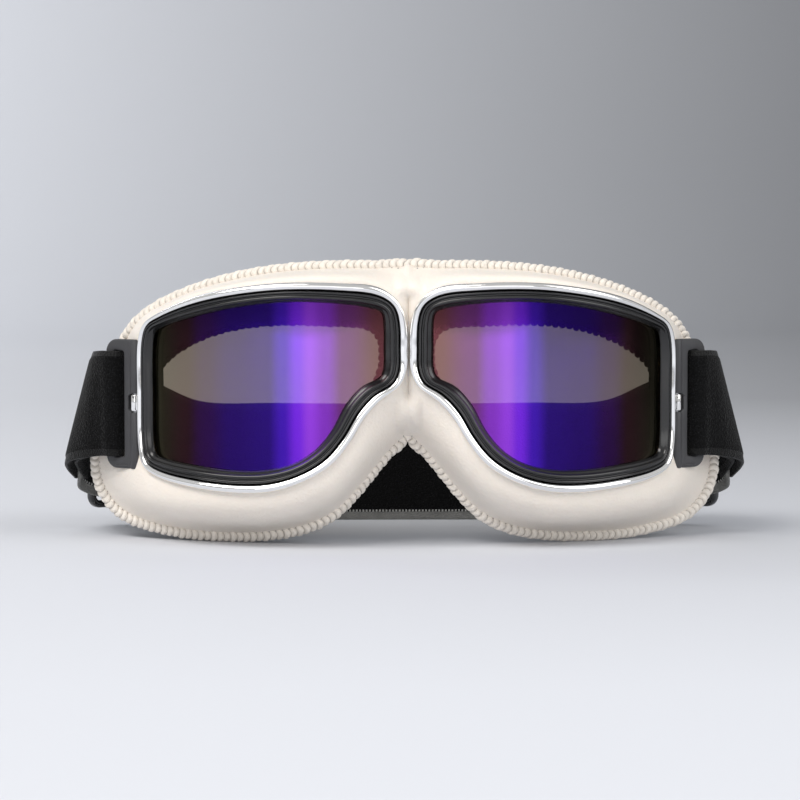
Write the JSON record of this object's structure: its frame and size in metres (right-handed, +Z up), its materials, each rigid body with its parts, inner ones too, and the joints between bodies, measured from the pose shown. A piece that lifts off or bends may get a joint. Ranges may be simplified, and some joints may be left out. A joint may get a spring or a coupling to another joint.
{
  "type": "motorcycle goggles",
  "caption": "Wrap-around riding goggles: chrome-rimmed curved mirror lenses on a nose hinge, cream leather face pad with whipstitched edge, and a black elastic strap on swivelling outriggers.",
  "frame": {"origin": "bottom centre of the whole object's box, on the surface that it stands on", "axes": "+Z up, -Y the way the lenses face, +X to the wearer's left, which is the viewer's right"},
  "size_m": [0.2072, 0.094, 0.0839],
  "materials": {
    "chrome": "polished chrome plating",
    "steel": "plain steel pins and hinge leaves",
    "gasket_rubber": "smooth satin black rubber",
    "frame_plastic": "moulded black plastic",
    "mirror_lens": "curved tinted lens with a violet to blue mirror coating",
    "cream_leather": "soft cream leather with a fine grain over foam",
    "cream_thread": "thick cream whipstitching",
    "black_lining": "soft black brushed lining",
    "grey_plastic": "dark grey moulded plastic, satin",
    "black_elastic": "black plush elastic with smooth satin edges",
    "gloss_black_plastic": "glossy black moulded plastic"
  },
  "bodies": {
    "half_right": {"chrome_rim_right": "chrome", "lens_gasket_right": "gasket_rubber", "lens_right": "mirror_lens", "eye_frame_right": "frame_plastic", "face_pad_right": "cream_leather", "face_lining_right": "black_lining", "stitched_edge_right": "cream_thread", "outrigger_lug_right": "chrome", "outrigger_pin_right": "steel", "bridge_leaf_right": "steel", "bridge_pin": "steel", "strap_back": "black_elastic"},
    "half_left": {"chrome_rim_left": "chrome", "lens_gasket_left": "gasket_rubber", "lens_left": "mirror_lens", "eye_frame_left": "frame_plastic", "face_pad_left": "cream_leather", "face_lining_left": "black_lining", "stitched_edge_left": "cream_thread", "outrigger_lug_left": "chrome", "outrigger_pin_left": "steel", "bridge_leaf_left": "steel"},
    "arm_right": {"outrigger_right": "grey_plastic", "strap_side_right": "black_elastic"},
    "arm_left": {"outrigger_left": "grey_plastic", "strap_side_left": "black_elastic"},
    "adjuster_right": {"strap_slider_right": "gloss_black_plastic", "strap_tail_right": "black_elastic"},
    "adjuster_left": {"strap_slider_left": "gloss_black_plastic", "strap_tail_left": "black_elastic"}
  },
  "joints": [
    {"name": "nose_hinge", "type": "hinge", "parent": "half_right", "child": "half_left", "pos_m": [0, -0.0377, 0.058], "axis": [0, 0, -1], "range_deg": [-6, 18], "deforming": ["face_pad_right", "face_pad_left", "face_lining_right", "face_lining_left", "stitched_edge_right", "stitched_edge_left", "strap_back"]},
    {"name": "outrigger_hinge_right", "type": "hinge", "parent": "half_right", "child": "arm_right", "pos_m": [0.0802, -0.016, 0.041], "axis": [0, 0, -1], "range_deg": [-8, 35], "deforming": ["strap_side_right"]},
    {"name": "outrigger_hinge_left", "type": "hinge", "parent": "half_left", "child": "arm_left", "pos_m": [-0.0802, -0.016, 0.041], "axis": [0, 0, 1], "range_deg": [-8, 35], "deforming": ["strap_side_left"]},
    {"name": "slider_slide_right", "type": "slide", "parent": "half_right", "child": "adjuster_right", "axis": [-0.7141, 0.7001, 0], "range_m": [-0.004, 0.012], "deforming": ["strap_tail_right"]},
    {"name": "slider_slide_left", "type": "slide", "parent": "half_left", "child": "adjuster_left", "axis": [0.7141, 0.7001, 0], "range_m": [-0.004, 0.012], "deforming": ["strap_tail_left"]}
  ]
}
